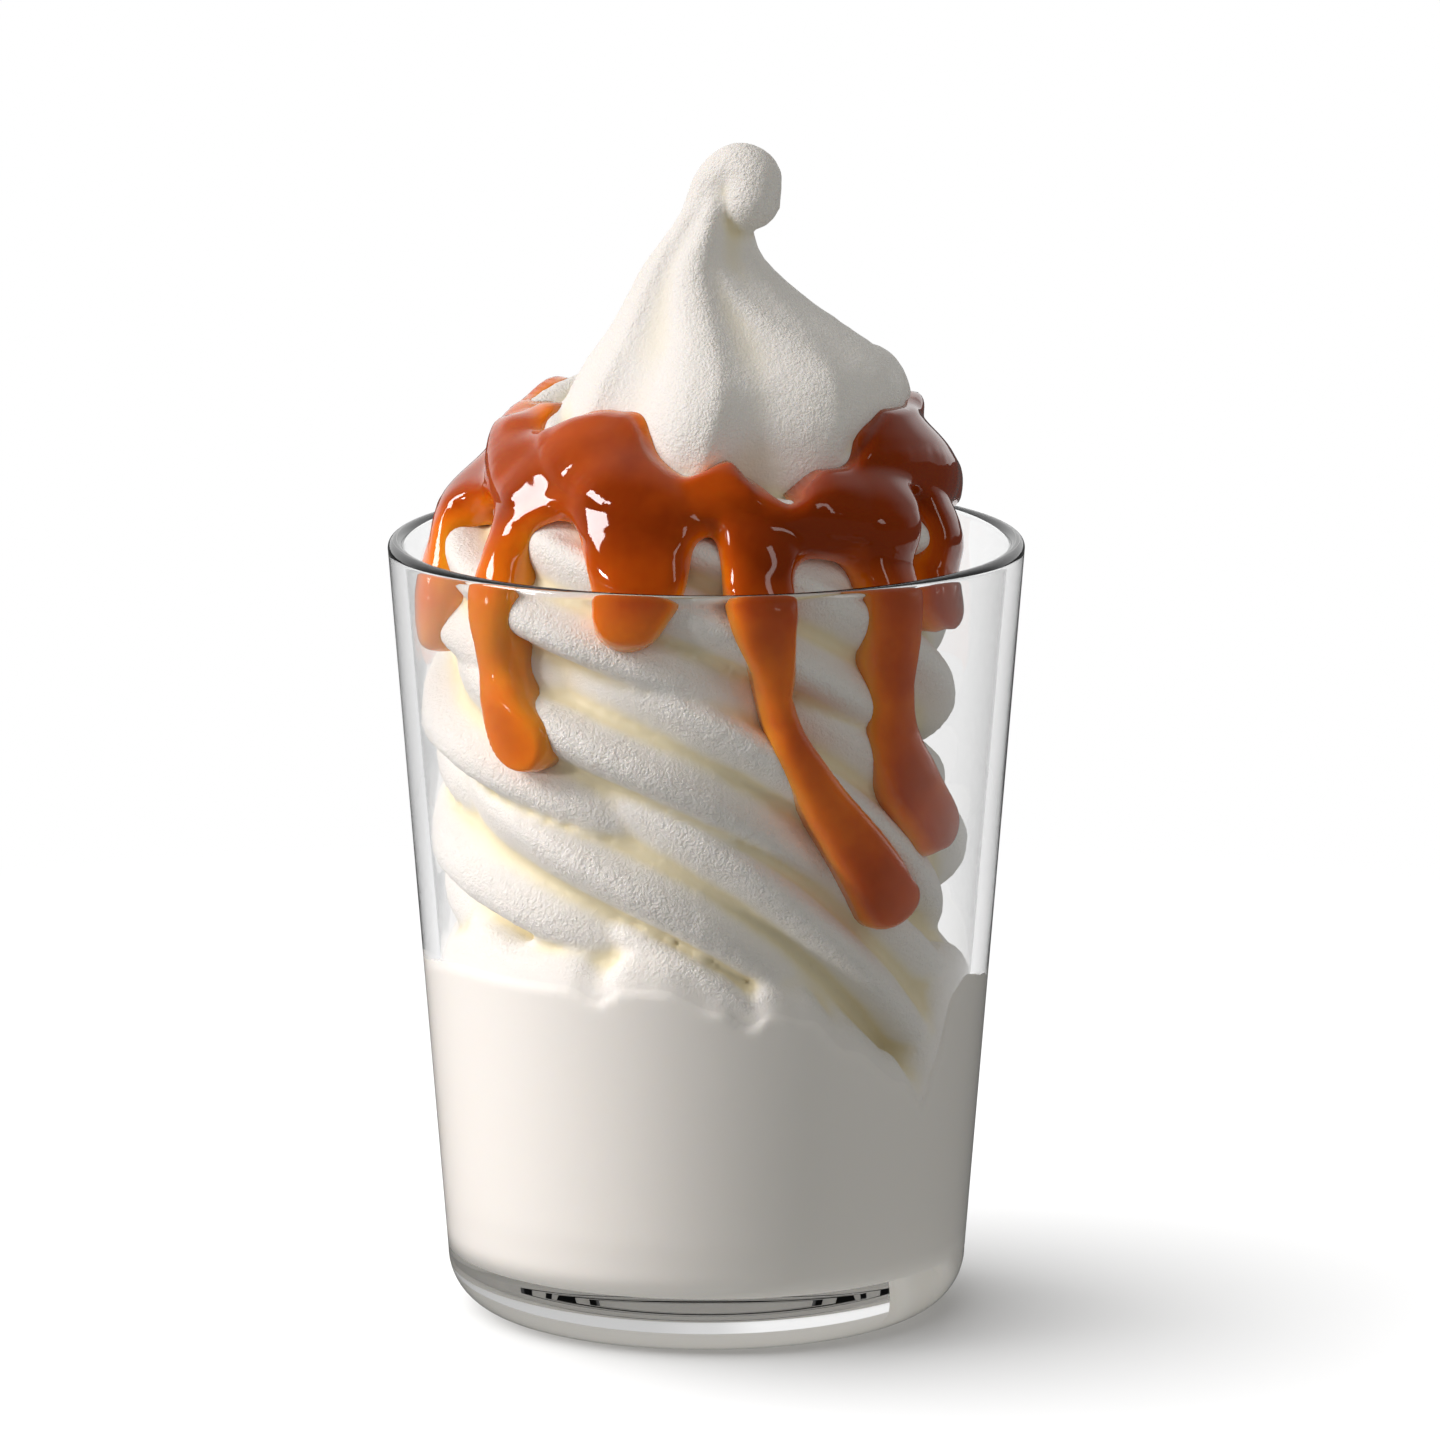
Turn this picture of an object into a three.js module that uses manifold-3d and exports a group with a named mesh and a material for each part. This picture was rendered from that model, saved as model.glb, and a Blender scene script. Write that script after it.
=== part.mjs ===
// A soft-serve sundae in a clear glass tumbler: vanilla soft serve that fills the foot of the glass and rises
// from it as one fluted rope, coiled up to a curled peak, with caramel sauce poured over its shoulder.
// Millimetres, +Z up. The origin is the middle of the glass's foot, on the table. -Y is the front.
import * as THREE from "three";
import { mergeVertices } from "three/addons/utils/BufferGeometryUtils.js";
import Module from "manifold-3d";

const wasm = await Module();
wasm.setup();

// ---- Driving dimensions -------------------------------------------------------------------------------------

const GLASS = {
  height: 103,
  rimRadius: 42,
  footRadius: 34.3, // where the straight wall meets the foot's rounded corner
  wall: 2.1,
  base: 8,
  corner: 7.5, // rounding of the foot's outer corner
  innerCorner: 3.5,
  sides: 44,
};

const CLEARANCE = 0.3; // kept between pieces that touch

// Bearings are in degrees seen from above: 0 is the right, -90 the front, 90 the back.

// The coiled rope. Each row is one turn, lowest first, and its values are at the right, front, left and back
// of the glass, which is the way the rope climbs.
const ROPE = {
  heights: [
    [15, 44, 43, 43],
    [39.5, 62.4, 63.6, 62],
    [62.5, 79, 80.5, 82],
    [86, 96, 97, 100],
    [107, 105.5, 111.5, 116],
    [121, 127],
  ],
  halfHeights: [
    [14, 14, 14, 14],
    [14, 14, 14, 14],
    [14.5, 13, 12.5, 13],
    [15.5, 12.5, 12, 12],
    [12.5, 9.5, 9.5, 9.5],
    [7.8, 5],
  ],
  reaches: [
    [34, 34.2, 34, 34],
    [33.6, 34.2, 34.4, 34.5],
    [34, 34.4, 34.6, 34],
    [33.6, 33.8, 34.6, 33],
    [31, 30.5, 28.5, 26],
    [24.4, 12],
  ],
  depth: 11, // half the rope's thickness, across the coil
  thinsFrom: 17, // quarter turn from which the rope thins
  thinsBy: 0.5,
  flutes: 7,
  fluteDepth: 4.6,
  fluteCrest: 1.5, // how far the flutes' crests stand out of the plain section
  fluteBearings: [30, 30, 33, 13, 4, 0], // where a flute faces, above level, at the front of each turn
  stepsPerTurn: 20,
  pointsPerFlute: 4,
};

// How far the coil's axis stands to the right of the glass's: height and offset.
const LEAN = [
  [45, -0.6],
  [64, -0.8],
  [81, -1.9],
  [97, -1.2],
  [108, 0.2],
  [120, 2.3],
  [132, 2.5],
];

// The peak that the rope's end is drawn up into: height, radius and the axis's offset to the right.
const PEAK = {
  rings: [
    [100, 22, 0],
    [106, 23, 0.5],
    [112, 23, 1.5],
    [117, 22.8, 2.7],
    [122, 22.2, 3.8],
    [126.5, 20.2, 4.1],
    [131, 15.8, 2.8],
    [135.5, 11.4, 0.9],
    [140, 7.9, -0.2],
    [144, 5.7, 0.5],
    [147.5, 4.4, 1.5],
    [150, 3.4, 2.2],
  ],
  forward: 2, // how far its foot stands forward of the coil's axis
  steps: 13,
  sides: 38,
};

// The peak's hollows: bearing at the foot and at the tip, depth as a share of the radius, and half-width in
// degrees to the left, where a ridge bounds the hollow, and to the right, where it dies out, and the share of the
// peak's height that it starts at.
const HOLLOWS = [
  [-80, -72, 0.15, 17, 34, 0],
  [-60, -54, 0.22, 35, 40, 0.5],
  [-132, -125, 0.12, 18, 26, 0],
  [-36, -12, 0.05, 16, 26, 0],
  [22, 50, 0.1, 18, 34, 0],
  [82, 108, 0.11, 18, 36, 0],
  [148, 170, 0.09, 18, 34, 0],
];

// The tip, which folds over to the right and hangs down: X, Y, Z and radius along it.
const CURL = {
  path: [
    [1.2, 0.6, 146, 4.4],
    [2.2, 0.6, 149.6, 4],
    [4.2, 0, 151.7, 3.9],
    [6, -1.2, 150.9, 3.9],
    [6, -2.2, 148.3, 3.8],
  ],
  sides: 8,
};

// Where the soft serve leaves the glass's wall: bearing and height.
const FILL_EDGE = [
  [-180, 46.8],
  [-148, 49.2],
  [-120, 49.2],
  [-113, 47.6],
  [-107, 49.6],
  [-100, 49.6],
  [-88, 46.8],
  [-81, 44.6],
  [-76.5, 46.4],
  [-68, 45],
  [-59, 40.3],
  [-43, 34.6],
  [-34, 30.4],
  [-27, 24],
  [-19, 27],
  [-8, 40],
  [0, 43.5],
  [40, 45],
  [80, 42.5],
  [120, 46],
  [150, 44],
  [180, 46.8],
];

// Above that edge the fill curves back from the wall: how far back, and how far up.
const FILL_SHOULDER = [
  [0.1, 0.5],
  [1.2, 3],
  [2.6, 4.4],
];

const CORE_RADIUS = 24; // the solid middle that the rope is coiled round

const SAUCE = {
  thickness: 2.4,
  sunk: 2.6, // how deep its shapes reach into the soft serve before that is cut away
  bearingSteps: 40,
  dripSides: 8,
};

// The sauce's collar: bearing and height of the crests and hollows of its upper edge.
const COLLAR_TOP = [
  [-180, 117.5],
  [-166, 118.8],
  [-158, 118.5],
  [-130, 121.2],
  [-101, 115],
  [-88, 117.3],
  [-74.5, 110.8],
  [-57, 115.8],
  [-50, 115.6],
  [-28, 122],
  [-10, 121.4],
  [8, 122],
  [30, 118.5],
  [50, 121],
  [75, 118],
  [100, 121],
  [130, 118.5],
  [155, 121.5],
  [180, 117.5],
];

// The same of its lower edge.
const COLLAR_BOTTOM = [
  [-180, 108],
  [-158, 109.8],
  [-145, 108],
  [-126, 110],
  [-110, 106],
  [-88, 109.6],
  [-79, 106],
  [-67, 105.6],
  [-48, 104],
  [-28, 112],
  [-8, 108],
  [15, 106],
  [35, 109],
  [50, 105],
  [75, 108],
  [100, 105],
  [130, 109],
  [155, 106],
  [180, 108],
];

// Drips, each from its head to its end: bearing, height and half-width.
const DRIPS = [
  [[-178, 112, 3.4], [-176, 106, 3.4], [-170, 101, 3.6], [-166, 97, 3.6], [-165, 92.5, 2.8]],
  [[-143, 114, 4], [-144, 110, 3.4], [-141, 104, 3], [-138, 98.5, 3.2], [-137, 91, 2.8], [-133, 85.5, 3.4],
    [-128, 81.5, 4.3]],
  [[-118, 114, 4.6], [-109, 109.5, 6], [-104.5, 104, 6.2], [-104.5, 100.5, 5.2], [-105, 99, 4.8]],
  [[-78, 108, 4.6], [-77, 103, 4.8], [-75.5, 98, 4.1], [-73, 92, 2.7], [-71, 86, 2.2], [-67, 80, 2.5],
    [-61, 73.5, 3], [-53, 66.5, 3.8], [-45, 60, 4.4]],
  [[-40, 111, 4.2], [-42, 105, 4.8], [-42, 99, 4.3], [-42, 92, 3.9], [-41, 86, 3.7], [-39, 79, 4],
    [-35, 73, 4.3], [-30, 68.5, 4.4]],
  [[-13, 110, 5], [-15, 104, 5.4], [-18, 99, 5.2], [-19, 97.5, 4.8]],
  [[176, 112, 3.6], [179, 107, 3.2]],
  [[150, 112, 4], [148, 104, 3.8], [146, 93, 3.3], [143, 86.5, 4.2]],
  [[112, 110, 4.2], [112, 104, 4.6], [110, 99, 4.4]],
  [[70, 110, 4.4], [69, 102, 4], [66, 89, 3.3], [64, 82, 4.2]],
  [[32, 112, 4], [30, 105, 4.4], [28, 100, 4]],
];

// ---- Helpers ------------------------------------------------------------------------------------------------

const degrees = (angle) => (angle * Math.PI) / 180;

// A smooth curve through rows of evenly spaced values: rowAt(rows)(position) gives the row at that position.
function rowAt(rows) {
  const curves = rows[0].map(
    (_, k) => new THREE.SplineCurve(rows.map((row, i) => new THREE.Vector2(i, row[k]))),
  );
  return (position) =>
    curves.map((curve) => curve.getPoint(THREE.MathUtils.clamp(position / (rows.length - 1), 0, 1)).y);
}

// Reading of a table of bearings and values with a smooth wave between each two rows; it wraps round.
function waveAt(rows, bearing) {
  const turned = THREE.MathUtils.euclideanModulo(bearing + 180, 360) - 180;
  const next = Math.max(1, rows.findIndex((row) => row[0] > turned));
  const [low, high] = [rows[next - 1], rows[next]];
  return THREE.MathUtils.lerp(low[1], high[1], THREE.MathUtils.smoothstep(turned, low[0], high[0]));
}

// One closed skin over rings of points, all rings having the same number of points, with both ends capped.
function skin(rings) {
  const count = rings[0].length;
  const centre = (ring) => ring.reduce((sum, p) => sum.add(p), new THREE.Vector3()).divideScalar(count);
  const points = [...rings.flat(), centre(rings[0]), centre(rings.at(-1))];
  const first = rings.length * count;
  const index = [];
  for (let k = 0; k < count; k++) {
    const next = (k + 1) % count;
    for (let i = 0; i + 1 < rings.length; i++) {
      const a = i * count;
      const b = a + count;
      index.push(a + k, a + next, b + next, a + k, b + next, b + k);
    }
    const last = (rings.length - 1) * count;
    index.push(first, next, k, first + 1, last + k, last + next);
  }
  return new THREE.BufferGeometry().setFromPoints(points).setIndex(index);
}

// A closed three.js geometry as a solid that can be joined and cut.
function solid(geometry, tolerance = 1e-4) {
  const bare = (geometry.index ? geometry.toNonIndexed() : geometry.clone()).deleteAttribute("normal");
  const merged = mergeVertices(bare.deleteAttribute("uv"), tolerance);
  const made = new wasm.Manifold(
    new wasm.Mesh({
      numProp: 3,
      vertProperties: merged.attributes.position.array,
      triVerts: new Uint32Array(merged.index.array),
    }),
  );
  if (made.volume() > 0) return made;
  const flipped = merged.index.array.slice().reverse();
  const turned = new THREE.BufferGeometry().setAttribute("position", merged.attributes.position);
  return solid(turned.setIndex([...flipped]), tolerance);
}

// A long shape in short lengths that join face to face, so that no length meets itself.
function tube(ringAt, from, to, stepsPerUnit, lengthUnits) {
  const lengths = [];
  for (let start = from; start < to; start += lengthUnits) {
    const end = Math.min(start + lengthUnits, to);
    const count = Math.max(1, Math.ceil((end - start) * stepsPerUnit));
    const places = Array.from({ length: count + 1 }, (_, i) => THREE.MathUtils.lerp(start, end, i / count));
    lengths.push(solid(skin(places.map(ringAt))));
  }
  return union(lengths);
}

function geometryOf(made) {
  const { vertProperties, triVerts } = made.getMesh();
  return new THREE.BufferGeometry()
    .setAttribute("position", new THREE.BufferAttribute(vertProperties, 3))
    .setIndex(new THREE.BufferAttribute(triVerts, 1));
}

// One body with its finest slivers closed: corners within a fiftieth of a millimetre become one.
function finished(made) {
  const clean = largestBody(solid(geometryOf(largestBody(made)), 0.02));
  return geometryOf(clean);
}

const union = (solids) => solids.reduce((whole, next) => whole.add(next));

// The largest body of a solid: what a cut leaves loose is dropped.
const largestBody = (made) => made.decompose().reduce((a, b) => (a.volume() > b.volume() ? a : b));

// ---- Glass --------------------------------------------------------------------------------------------------

// Radius of the tumbler's outer wall at a height above its rounded corner.
function outerRadius(z) {
  return THREE.MathUtils.mapLinear(z, GLASS.corner, GLASS.height, GLASS.footRadius, GLASS.rimRadius);
}

const innerRadius = (z) => outerRadius(z) - GLASS.wall;

// Points of a quarter turn about a centre, from one angle to another.
function arc(x, z, radius, from, to, steps) {
  return Array.from({ length: steps + 1 }, (_, i) => {
    const angle = degrees(THREE.MathUtils.lerp(from, to, i / steps));
    return new THREE.Vector2(x + radius * Math.cos(angle), z + radius * Math.sin(angle));
  });
}

function glass() {
  const { height, wall, base, corner, innerCorner, footRadius, sides } = GLASS;
  const lip = wall / 2;
  const profile = [
    new THREE.Vector2(0, 0),
    ...arc(footRadius - corner, corner, corner, -90, 0, 5),
    ...arc(outerRadius(height - lip) - lip, height - lip, lip, 0, 180, 4),
    ...arc(innerRadius(base) - innerCorner, base + innerCorner, innerCorner, 0, -90, 3),
    new THREE.Vector2(0, base),
  ];
  return new THREE.LatheGeometry(profile, sides).rotateX(Math.PI / 2);
}

// ---- Soft serve ---------------------------------------------------------------------------------------------

// Straight-line reading of a table whose first column is the place.
function readTable(rows, place) {
  const next = rows.findIndex((row) => row[0] > place);
  if (next === 0) return rows[0].slice(1);
  if (next < 0) return rows.at(-1).slice(1);
  const [low, high] = [rows[next - 1], rows[next]];
  const share = (place - low[0]) / (high[0] - low[0]);
  return low.slice(1).map((value, k) => THREE.MathUtils.lerp(value, high[k + 1], share));
}

const leanAt = (z) => readTable(LEAN, z)[0];

// A fluted outline's swell at a phase, from -1 to 1: broad round crests with a valley between each two.
const flute = (phase) => 0.55 * (2 * Math.abs(Math.cos(phase / 2)) - 1) + 0.45 * Math.cos(phase);

const heights = ROPE.heights.flat();
const ropeEnd = heights.length - 1;
const heightAt = rowAt(heights.map((z) => [z]));
const halfHeightAt = rowAt(ROPE.halfHeights.flat().map((h) => [h]));
const reachAt = rowAt(ROPE.reaches.flat().map((r) => [r]));
const fluteAt = rowAt(ROPE.fluteBearings.map((a) => [a]));

// The rope's section at a place along the coil, counted in quarter turns from its start.
function sectionAt(quarter) {
  const size = 1 - ROPE.thinsBy * THREE.MathUtils.smoothstep(quarter, ROPE.thinsFrom, ropeEnd);
  const deep = ROPE.depth * size;
  return {
    z: heightAt(quarter)[0],
    tall: halfHeightAt(quarter)[0],
    deep,
    middle: reachAt(quarter)[0] - deep,
    fluted: 1 - THREE.MathUtils.smoothstep(quarter, ROPE.thinsFrom, ropeEnd - 1),
  };
}

function ropeRing(quarter, grow) {
  const { z, deep, tall, middle, fluted } = sectionAt(quarter);
  const bearing = (-Math.PI / 2) * quarter;
  const facing = degrees(fluteAt((quarter - 1) / 4)[0] + 90 * (quarter - 1));
  const count = ROPE.flutes * ROPE.pointsPerFlute;
  return Array.from({ length: count }, (_, k) => {
    const phase = (2 * Math.PI * k) / count;
    const around = phase + facing;
    const swell = ROPE.fluteCrest - (ROPE.fluteDepth * (1 - flute(ROPE.flutes * phase))) / 2;
    const lobe = fluted * swell + grow;
    const r = middle + (deep + lobe) * Math.cos(around);
    return new THREE.Vector3(
      leanAt(z) + r * Math.cos(bearing),
      r * Math.sin(bearing),
      z + (tall + lobe) * Math.sin(around),
    );
  });
}

const rope = (grow) => tube((quarter) => ropeRing(quarter, grow), 0, ropeEnd, ROPE.stepsPerTurn / 4, 2);

// How deep the peak is hollowed at a bearing and a share of its height, as a share of its radius.
function hollowed(bearing, share) {
  const depths = HOLLOWS.map(([atFoot, atTip, deepest, left, right, start]) => {
    const middle = THREE.MathUtils.lerp(atFoot, atTip, THREE.MathUtils.smoothstep(share, 0.35, 1));
    const away = THREE.MathUtils.euclideanModulo(bearing - middle + 180, 360) - 180;
    const depth = deepest * THREE.MathUtils.smoothstep(share, start, start + 0.3);
    if (away < 0) return depth * (1 - Math.min(1, -away / left) ** 2);
    return depth * (1 - THREE.MathUtils.smoothstep(away, 0, right));
  });
  return Math.max(...depths);
}

function peak(grow) {
  const ringAt = rowAt(PEAK.rings);
  const rings = Array.from({ length: PEAK.steps + 1 }, (_, i) => {
    const share = i / PEAK.steps;
    const [z, radius, x] = ringAt(share * (PEAK.rings.length - 1));
    const y = -PEAK.forward * (1 - THREE.MathUtils.smoothstep(z, 118, 134));
    return Array.from({ length: PEAK.sides }, (_, k) => {
      const bearing = (360 * k) / PEAK.sides;
      const r = radius * (1 - hollowed(bearing, share)) + grow;
      return new THREE.Vector3(x + r * Math.cos(degrees(bearing)), y + r * Math.sin(degrees(bearing)), z);
    });
  });
  return solid(skin(rings));
}

function curl(grow) {
  const placeAt = rowAt(CURL.path);
  const last = CURL.path.length - 1;
  const spot = (place) => {
    const [x, y, z, radius] = placeAt(place);
    return { at: new THREE.Vector3(x, y, z), radius: radius + grow };
  };
  const ringAt = (place) => {
    const { at, radius } = spot(place);
    const along = spot(place + 0.05).at.sub(spot(place - 0.05).at).normalize();
    const across = new THREE.Vector3(0, 1, 0).cross(along).normalize();
    const side = along.clone().cross(across);
    return Array.from({ length: CURL.sides }, (_, k) => {
      const angle = (2 * Math.PI * k) / CURL.sides;
      return at.clone()
        .addScaledVector(across, radius * Math.cos(angle))
        .addScaledVector(side, radius * Math.sin(angle));
    });
  };
  const { at, radius } = spot(last);
  const end = solid(new THREE.SphereGeometry(radius, CURL.sides, 6).translate(at.x, at.y, at.z));
  return tube(ringAt, 0, last, 2, 1).add(end);
}

// The fill that was pressed flat against the glass, with the uneven edge where it leaves the wall.
function fill() {
  const low = GLASS.base + CLEARANCE;
  const out = GLASS.rimRadius + 6; // the wall's own shape is cut out of it afterwards
  const loop = (radiusAt, heightAt) =>
    Array.from({ length: GLASS.sides }, (_, k) => {
      const bearing = (360 * k) / GLASS.sides;
      const edge = waveAt(FILL_EDGE, bearing);
      const a = degrees(bearing);
      const r = radiusAt(edge);
      return new THREE.Vector3(r * Math.cos(a), r * Math.sin(a), heightAt(edge));
    });
  return solid(
    skin([
      loop(() => out, () => low),
      loop(() => out, (edge) => edge),
      ...FILL_SHOULDER.map(([back, rise]) =>
        loop((edge) => innerRadius(edge) - CLEARANCE - back, (edge) => edge + rise)),
      loop(() => CORE_RADIUS, (edge) => edge + 5),
    ]),
  );
}

// What the glass can hold, less the clearance to its wall.
function cavity() {
  const { base, height, innerCorner, sides } = GLASS;
  const inset = CLEARANCE;
  const profile = [
    new THREE.Vector2(0, base + inset),
    ...arc(innerRadius(base) - innerCorner, base + innerCorner, innerCorner - inset, -90, 0, 3),
    new THREE.Vector2(innerRadius(height) - inset, height),
    new THREE.Vector2(innerRadius(height) - inset, 2 * height),
    new THREE.Vector2(0, 2 * height),
  ];
  return solid(new THREE.LatheGeometry(profile, sides).rotateX(Math.PI / 2));
}

function core() {
  const profile = [
    new THREE.Vector2(0, 20),
    new THREE.Vector2(CORE_RADIUS, 20),
    new THREE.Vector2(CORE_RADIUS, 104),
    new THREE.Vector2(0, 104),
  ];
  return solid(new THREE.LatheGeometry(profile, 24).rotateX(Math.PI / 2));
}

function softServe(grow = 0) {
  return largestBody(union([fill(), core(), rope(grow), peak(grow), curl(grow)]).intersect(cavity()));
}

// ---- Caramel sauce ------------------------------------------------------------------------------------------

// The soft serve's surface without its flutes: distance from the coil's axis at a bearing and height.
function bareRadius(bearing, z) {
  const first = (((-bearing / 90) % 4) + 4) % 4;
  const found = [z < PEAK.rings[0][0] ? CORE_RADIUS : readTable(PEAK.rings, z)[0]];
  for (let quarter = first; quarter <= ropeEnd; quarter += 4) {
    const section = sectionAt(quarter);
    const off = (z - section.z) / section.tall;
    if (Math.abs(off) < 1) found.push(section.middle + section.deep * Math.sqrt(1 - off * off));
  }
  return Math.max(...found);
}

// The same, with the creases between turns bridged as a thick sauce bridges them.
function bridgedRadius(bearing, z) {
  const fall = THREE.MathUtils.mapLinear(THREE.MathUtils.clamp(z, 100, 114), 100, 114, 0.04, 0.15);
  const near = Array.from({ length: 11 }, (_, i) => 2 * (i - 5));
  return Math.max(...near.map((dz) => bareRadius(bearing, z + dz) - fall * dz * dz));
}

// A point on the bridged surface, raised by a height above it.
function onSurface(bearing, z, raised) {
  const r = bridgedRadius(bearing, z) + raised;
  const a = degrees(bearing);
  return new THREE.Vector3(leanAt(z) + r * Math.cos(a), r * Math.sin(a), z);
}

function collar() {
  const ringAt = (bearing) => {
    const bottom = waveAt(COLLAR_BOTTOM, bearing);
    const top = waveAt(COLLAR_TOP, bearing);
    const level = (s) => THREE.MathUtils.lerp(bottom, top, (s + 1) / 2);
    const outer = [-1, -0.85, -0.4, 0, 0.4, 0.85, 1].map((s) =>
      onSurface(bearing, level(s), SAUCE.thickness * Math.sqrt(1 - s * s)));
    const inner = [1, 0, -1].map((s) => onSurface(bearing, level(s), -SAUCE.sunk));
    return [...outer, ...inner];
  };
  return tube(ringAt, -180, 180, SAUCE.bearingSteps / 360, 60);
}

function drip(rows) {
  const placeAt = rowAt(rows);
  const last = rows.length - 1;
  const spot = (place) => {
    const [bearing, z] = placeAt(place);
    return onSurface(bearing, z, 0);
  };
  const frame = (place) => {
    const [bearing, , half] = placeAt(place);
    const out = new THREE.Vector3(Math.cos(degrees(bearing)), Math.sin(degrees(bearing)), 0);
    const before = spot(Math.max(place - 0.2, 0));
    const along = spot(Math.min(place + 0.2, last)).sub(before).normalize();
    const across = along.clone().cross(out).normalize();
    return { at: spot(place), half, across, along, out: across.clone().cross(along) };
  };
  const ringAt = (place) => {
    const { at, half, across, out } = frame(place);
    return Array.from({ length: SAUCE.dripSides }, (_, k) => {
      const angle = (2 * Math.PI * k) / SAUCE.dripSides;
      const rise = Math.sin(angle) * (Math.sin(angle) > 0 ? SAUCE.thickness : SAUCE.sunk);
      return at.clone().addScaledVector(across, half * Math.cos(angle)).addScaledVector(out, rise);
    });
  };
  const { at, half, across, along, out } = frame(last);
  const end = new THREE.SphereGeometry(1, SAUCE.dripSides, 6)
    .scale(half, half, SAUCE.thickness)
    .applyMatrix4(new THREE.Matrix4().makeBasis(across, along, out).setPosition(at));
  return tube(ringAt, 0, last, 1.5, 2).add(solid(end));
}

function caramel() {
  const poured = union([collar(), ...DRIPS.map(drip)]);
  return largestBody(poured.intersect(cavity()).subtract(softServe(CLEARANCE)));
}

// ---- The sundae ---------------------------------------------------------------------------------------------

const clearGlass = new THREE.MeshStandardMaterial({
  color: 0xe9eef0, roughness: 0.02, metalness: 0, transparent: true, opacity: 0.3,
});
const sauceBrown = new THREE.MeshStandardMaterial({ color: 0x9a4408, roughness: 0.12, metalness: 0 });
const vanilla = new THREE.MeshStandardMaterial({ color: 0xf6f1e6, roughness: 0.6, metalness: 0 });

const sundae = new THREE.Group();

function place(name, geometry, material) {
  const mesh = new THREE.Mesh(geometry, material);
  mesh.name = name;
  sundae.add(mesh);
}

place("glass_tumbler", glass(), clearGlass);
place("soft_serve", finished(softServe()), vanilla);
place("caramel_sauce", finished(caramel()), sauceBrown);

export default sundae;
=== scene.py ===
# A soft-serve sundae in a clear glass tumbler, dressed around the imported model.
# Metres in the scene. The tables below are in millimetres, as the object is measured: +Z up, -Y the front.
import math

import bpy
import numpy as np
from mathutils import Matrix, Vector, noise
from mathutils.bvhtree import BVHTree


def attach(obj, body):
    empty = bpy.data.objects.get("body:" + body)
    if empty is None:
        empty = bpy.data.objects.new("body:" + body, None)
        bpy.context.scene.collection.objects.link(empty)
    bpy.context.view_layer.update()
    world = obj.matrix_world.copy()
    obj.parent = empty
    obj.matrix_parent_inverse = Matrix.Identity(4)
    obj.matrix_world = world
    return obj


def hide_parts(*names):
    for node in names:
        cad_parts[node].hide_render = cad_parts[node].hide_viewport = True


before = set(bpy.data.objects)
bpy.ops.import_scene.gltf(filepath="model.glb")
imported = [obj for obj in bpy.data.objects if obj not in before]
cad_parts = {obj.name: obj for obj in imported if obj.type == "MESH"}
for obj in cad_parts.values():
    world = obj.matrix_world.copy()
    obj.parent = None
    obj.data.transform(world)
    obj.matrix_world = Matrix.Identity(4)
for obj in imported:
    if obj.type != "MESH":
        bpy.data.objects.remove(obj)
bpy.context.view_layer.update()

MM = 0.001

# ---- The object's sizes --------------------------------------------------------------------------

GLASS_HEIGHT = 103
GLASS_RIM = 42
GLASS_FOOT = 34.3
GLASS_WALL = 2.1
GLASS_BASE = 8
FOOT_CORNER = 7.5
INNER_CORNER = 3.5
GLASS_SIDES = 192

PRESSED_IN = 0.4  # how far the fill reaches into the glass, so that no air shows between them
STANDS_OFF = 0.25  # air kept between the glass and what doesn't touch it
LEAVES_BELOW, LEAVES_ABOVE = 0.3, 0.7  # where the fill leaves the wall, below and above its edge
FREE = 1e9  # the limit where nothing holds a point in

# The coiled rope, one row a turn, lowest first: values at the right, front, left and back of the glass.
ROPE_HEIGHTS = [
    15, 44, 43, 43,
    39.5, 62.4, 63.6, 62,
    62.5, 79, 80.5, 82,
    86, 96, 97, 100,
    107, 105.5, 111.5, 116,
    121, 127,
]
ROPE_HALF_HEIGHTS = [
    14, 14, 14, 14,
    14, 14, 14, 14,
    14.5, 13, 12.5, 13,
    15.5, 12.5, 12, 12,
    12.5, 9.5, 9.5, 9.5,
    7.8, 5,
]
ROPE_REACHES = [
    34, 34.2, 34, 34,
    33.6, 34.2, 34.4, 34.5,
    34, 34.4, 34.6, 34,
    33.6, 33.8, 34.6, 33,
    31, 30.5, 28.5, 26,
    24.4, 12,
]
ROPE_END = len(ROPE_HEIGHTS) - 1  # in quarter turns
ROPE_DEPTH = 11
ROPE_THINS_FROM = 17
ROPE_THINS_BY = 0.5
FLUTES = 7
FLUTE_DEPTH = 4.6
FLUTE_CREST = 1.5  # how far the flutes' crests stand out of the rope's plain section
FLUTE_BEARINGS = [30, 30, 33, 13, 4, 0]

# Height and offset of the coil's axis.
LEAN = [(45, -0.6), (64, -0.8), (81, -1.9), (97, -1.2), (108, 0.2), (120, 2.3), (132, 2.5)]

# The peak: height, radius and the axis's offset.
PEAK_FORWARD = 2  # how far its foot stands forward of the coil's axis
PEAK_RINGS = [
    (100, 22, 0), (106, 23, 0.5), (112, 23, 1.5), (117, 22.8, 2.7), (122, 22.2, 3.8),
    (126.5, 20.2, 4.1), (131, 15.8, 2.8), (135.5, 11.4, 0.9), (140, 7.9, -0.2), (144, 5.7, 0.5),
    (147.5, 4.4, 1.5), (150, 3.4, 2.2),
]
# Its hollows: bearing at the foot and at the tip, depth as a share of the radius, half-width in degrees
# to the left, where a ridge bounds it, and to the right, where it dies out, and the share of the height
# that it starts at.
PEAK_HOLLOWS = [
    (-79, -72, 0.15, 18, 34, 0),
    (-58, -50, 0.24, 33, 44, 0.5),
    (-132, -125, 0.12, 18, 26, 0),
    (-36, -12, 0.05, 16, 26, 0),
    (22, 50, 0.1, 18, 34, 0),
    (82, 108, 0.11, 18, 36, 0),
    (148, 170, 0.09, 18, 34, 0),
]

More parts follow.
